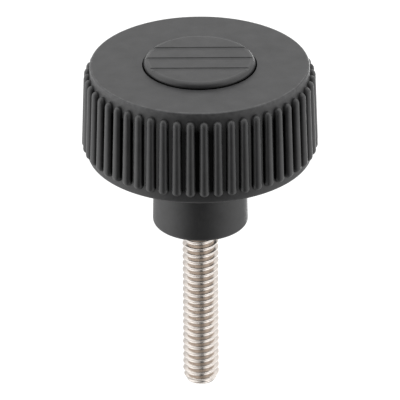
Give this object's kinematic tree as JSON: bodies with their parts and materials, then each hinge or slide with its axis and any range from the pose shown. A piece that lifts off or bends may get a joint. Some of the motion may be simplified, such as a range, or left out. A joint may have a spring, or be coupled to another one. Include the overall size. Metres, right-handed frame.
{
  "type": "knurled knob",
  "caption": "Round clamping knob with a ribbed head, a boss, a snap-in cap with cross grooves and a threaded stud.",
  "frame": {"origin": "on the knob's axis, in the seat face of the boss, where the stud leaves it", "axes": "+Z along the axis from the stud up to the cap; the cap's grooves run along X"},
  "size_m": [0.04, 0.04, 0.0612],
  "materials": {
    "moulded_plastic": "fine matt moulded texture, black-grey",
    "cap_plastic": "fine matt moulded texture, black-grey",
    "stainless_steel": "bright rolled thread"
  },
  "bodies": {
    "root": {"knob_body": "moulded_plastic", "cover_cap": "cap_plastic", "threaded_stud": "stainless_steel"}
  },
  "joints": []
}
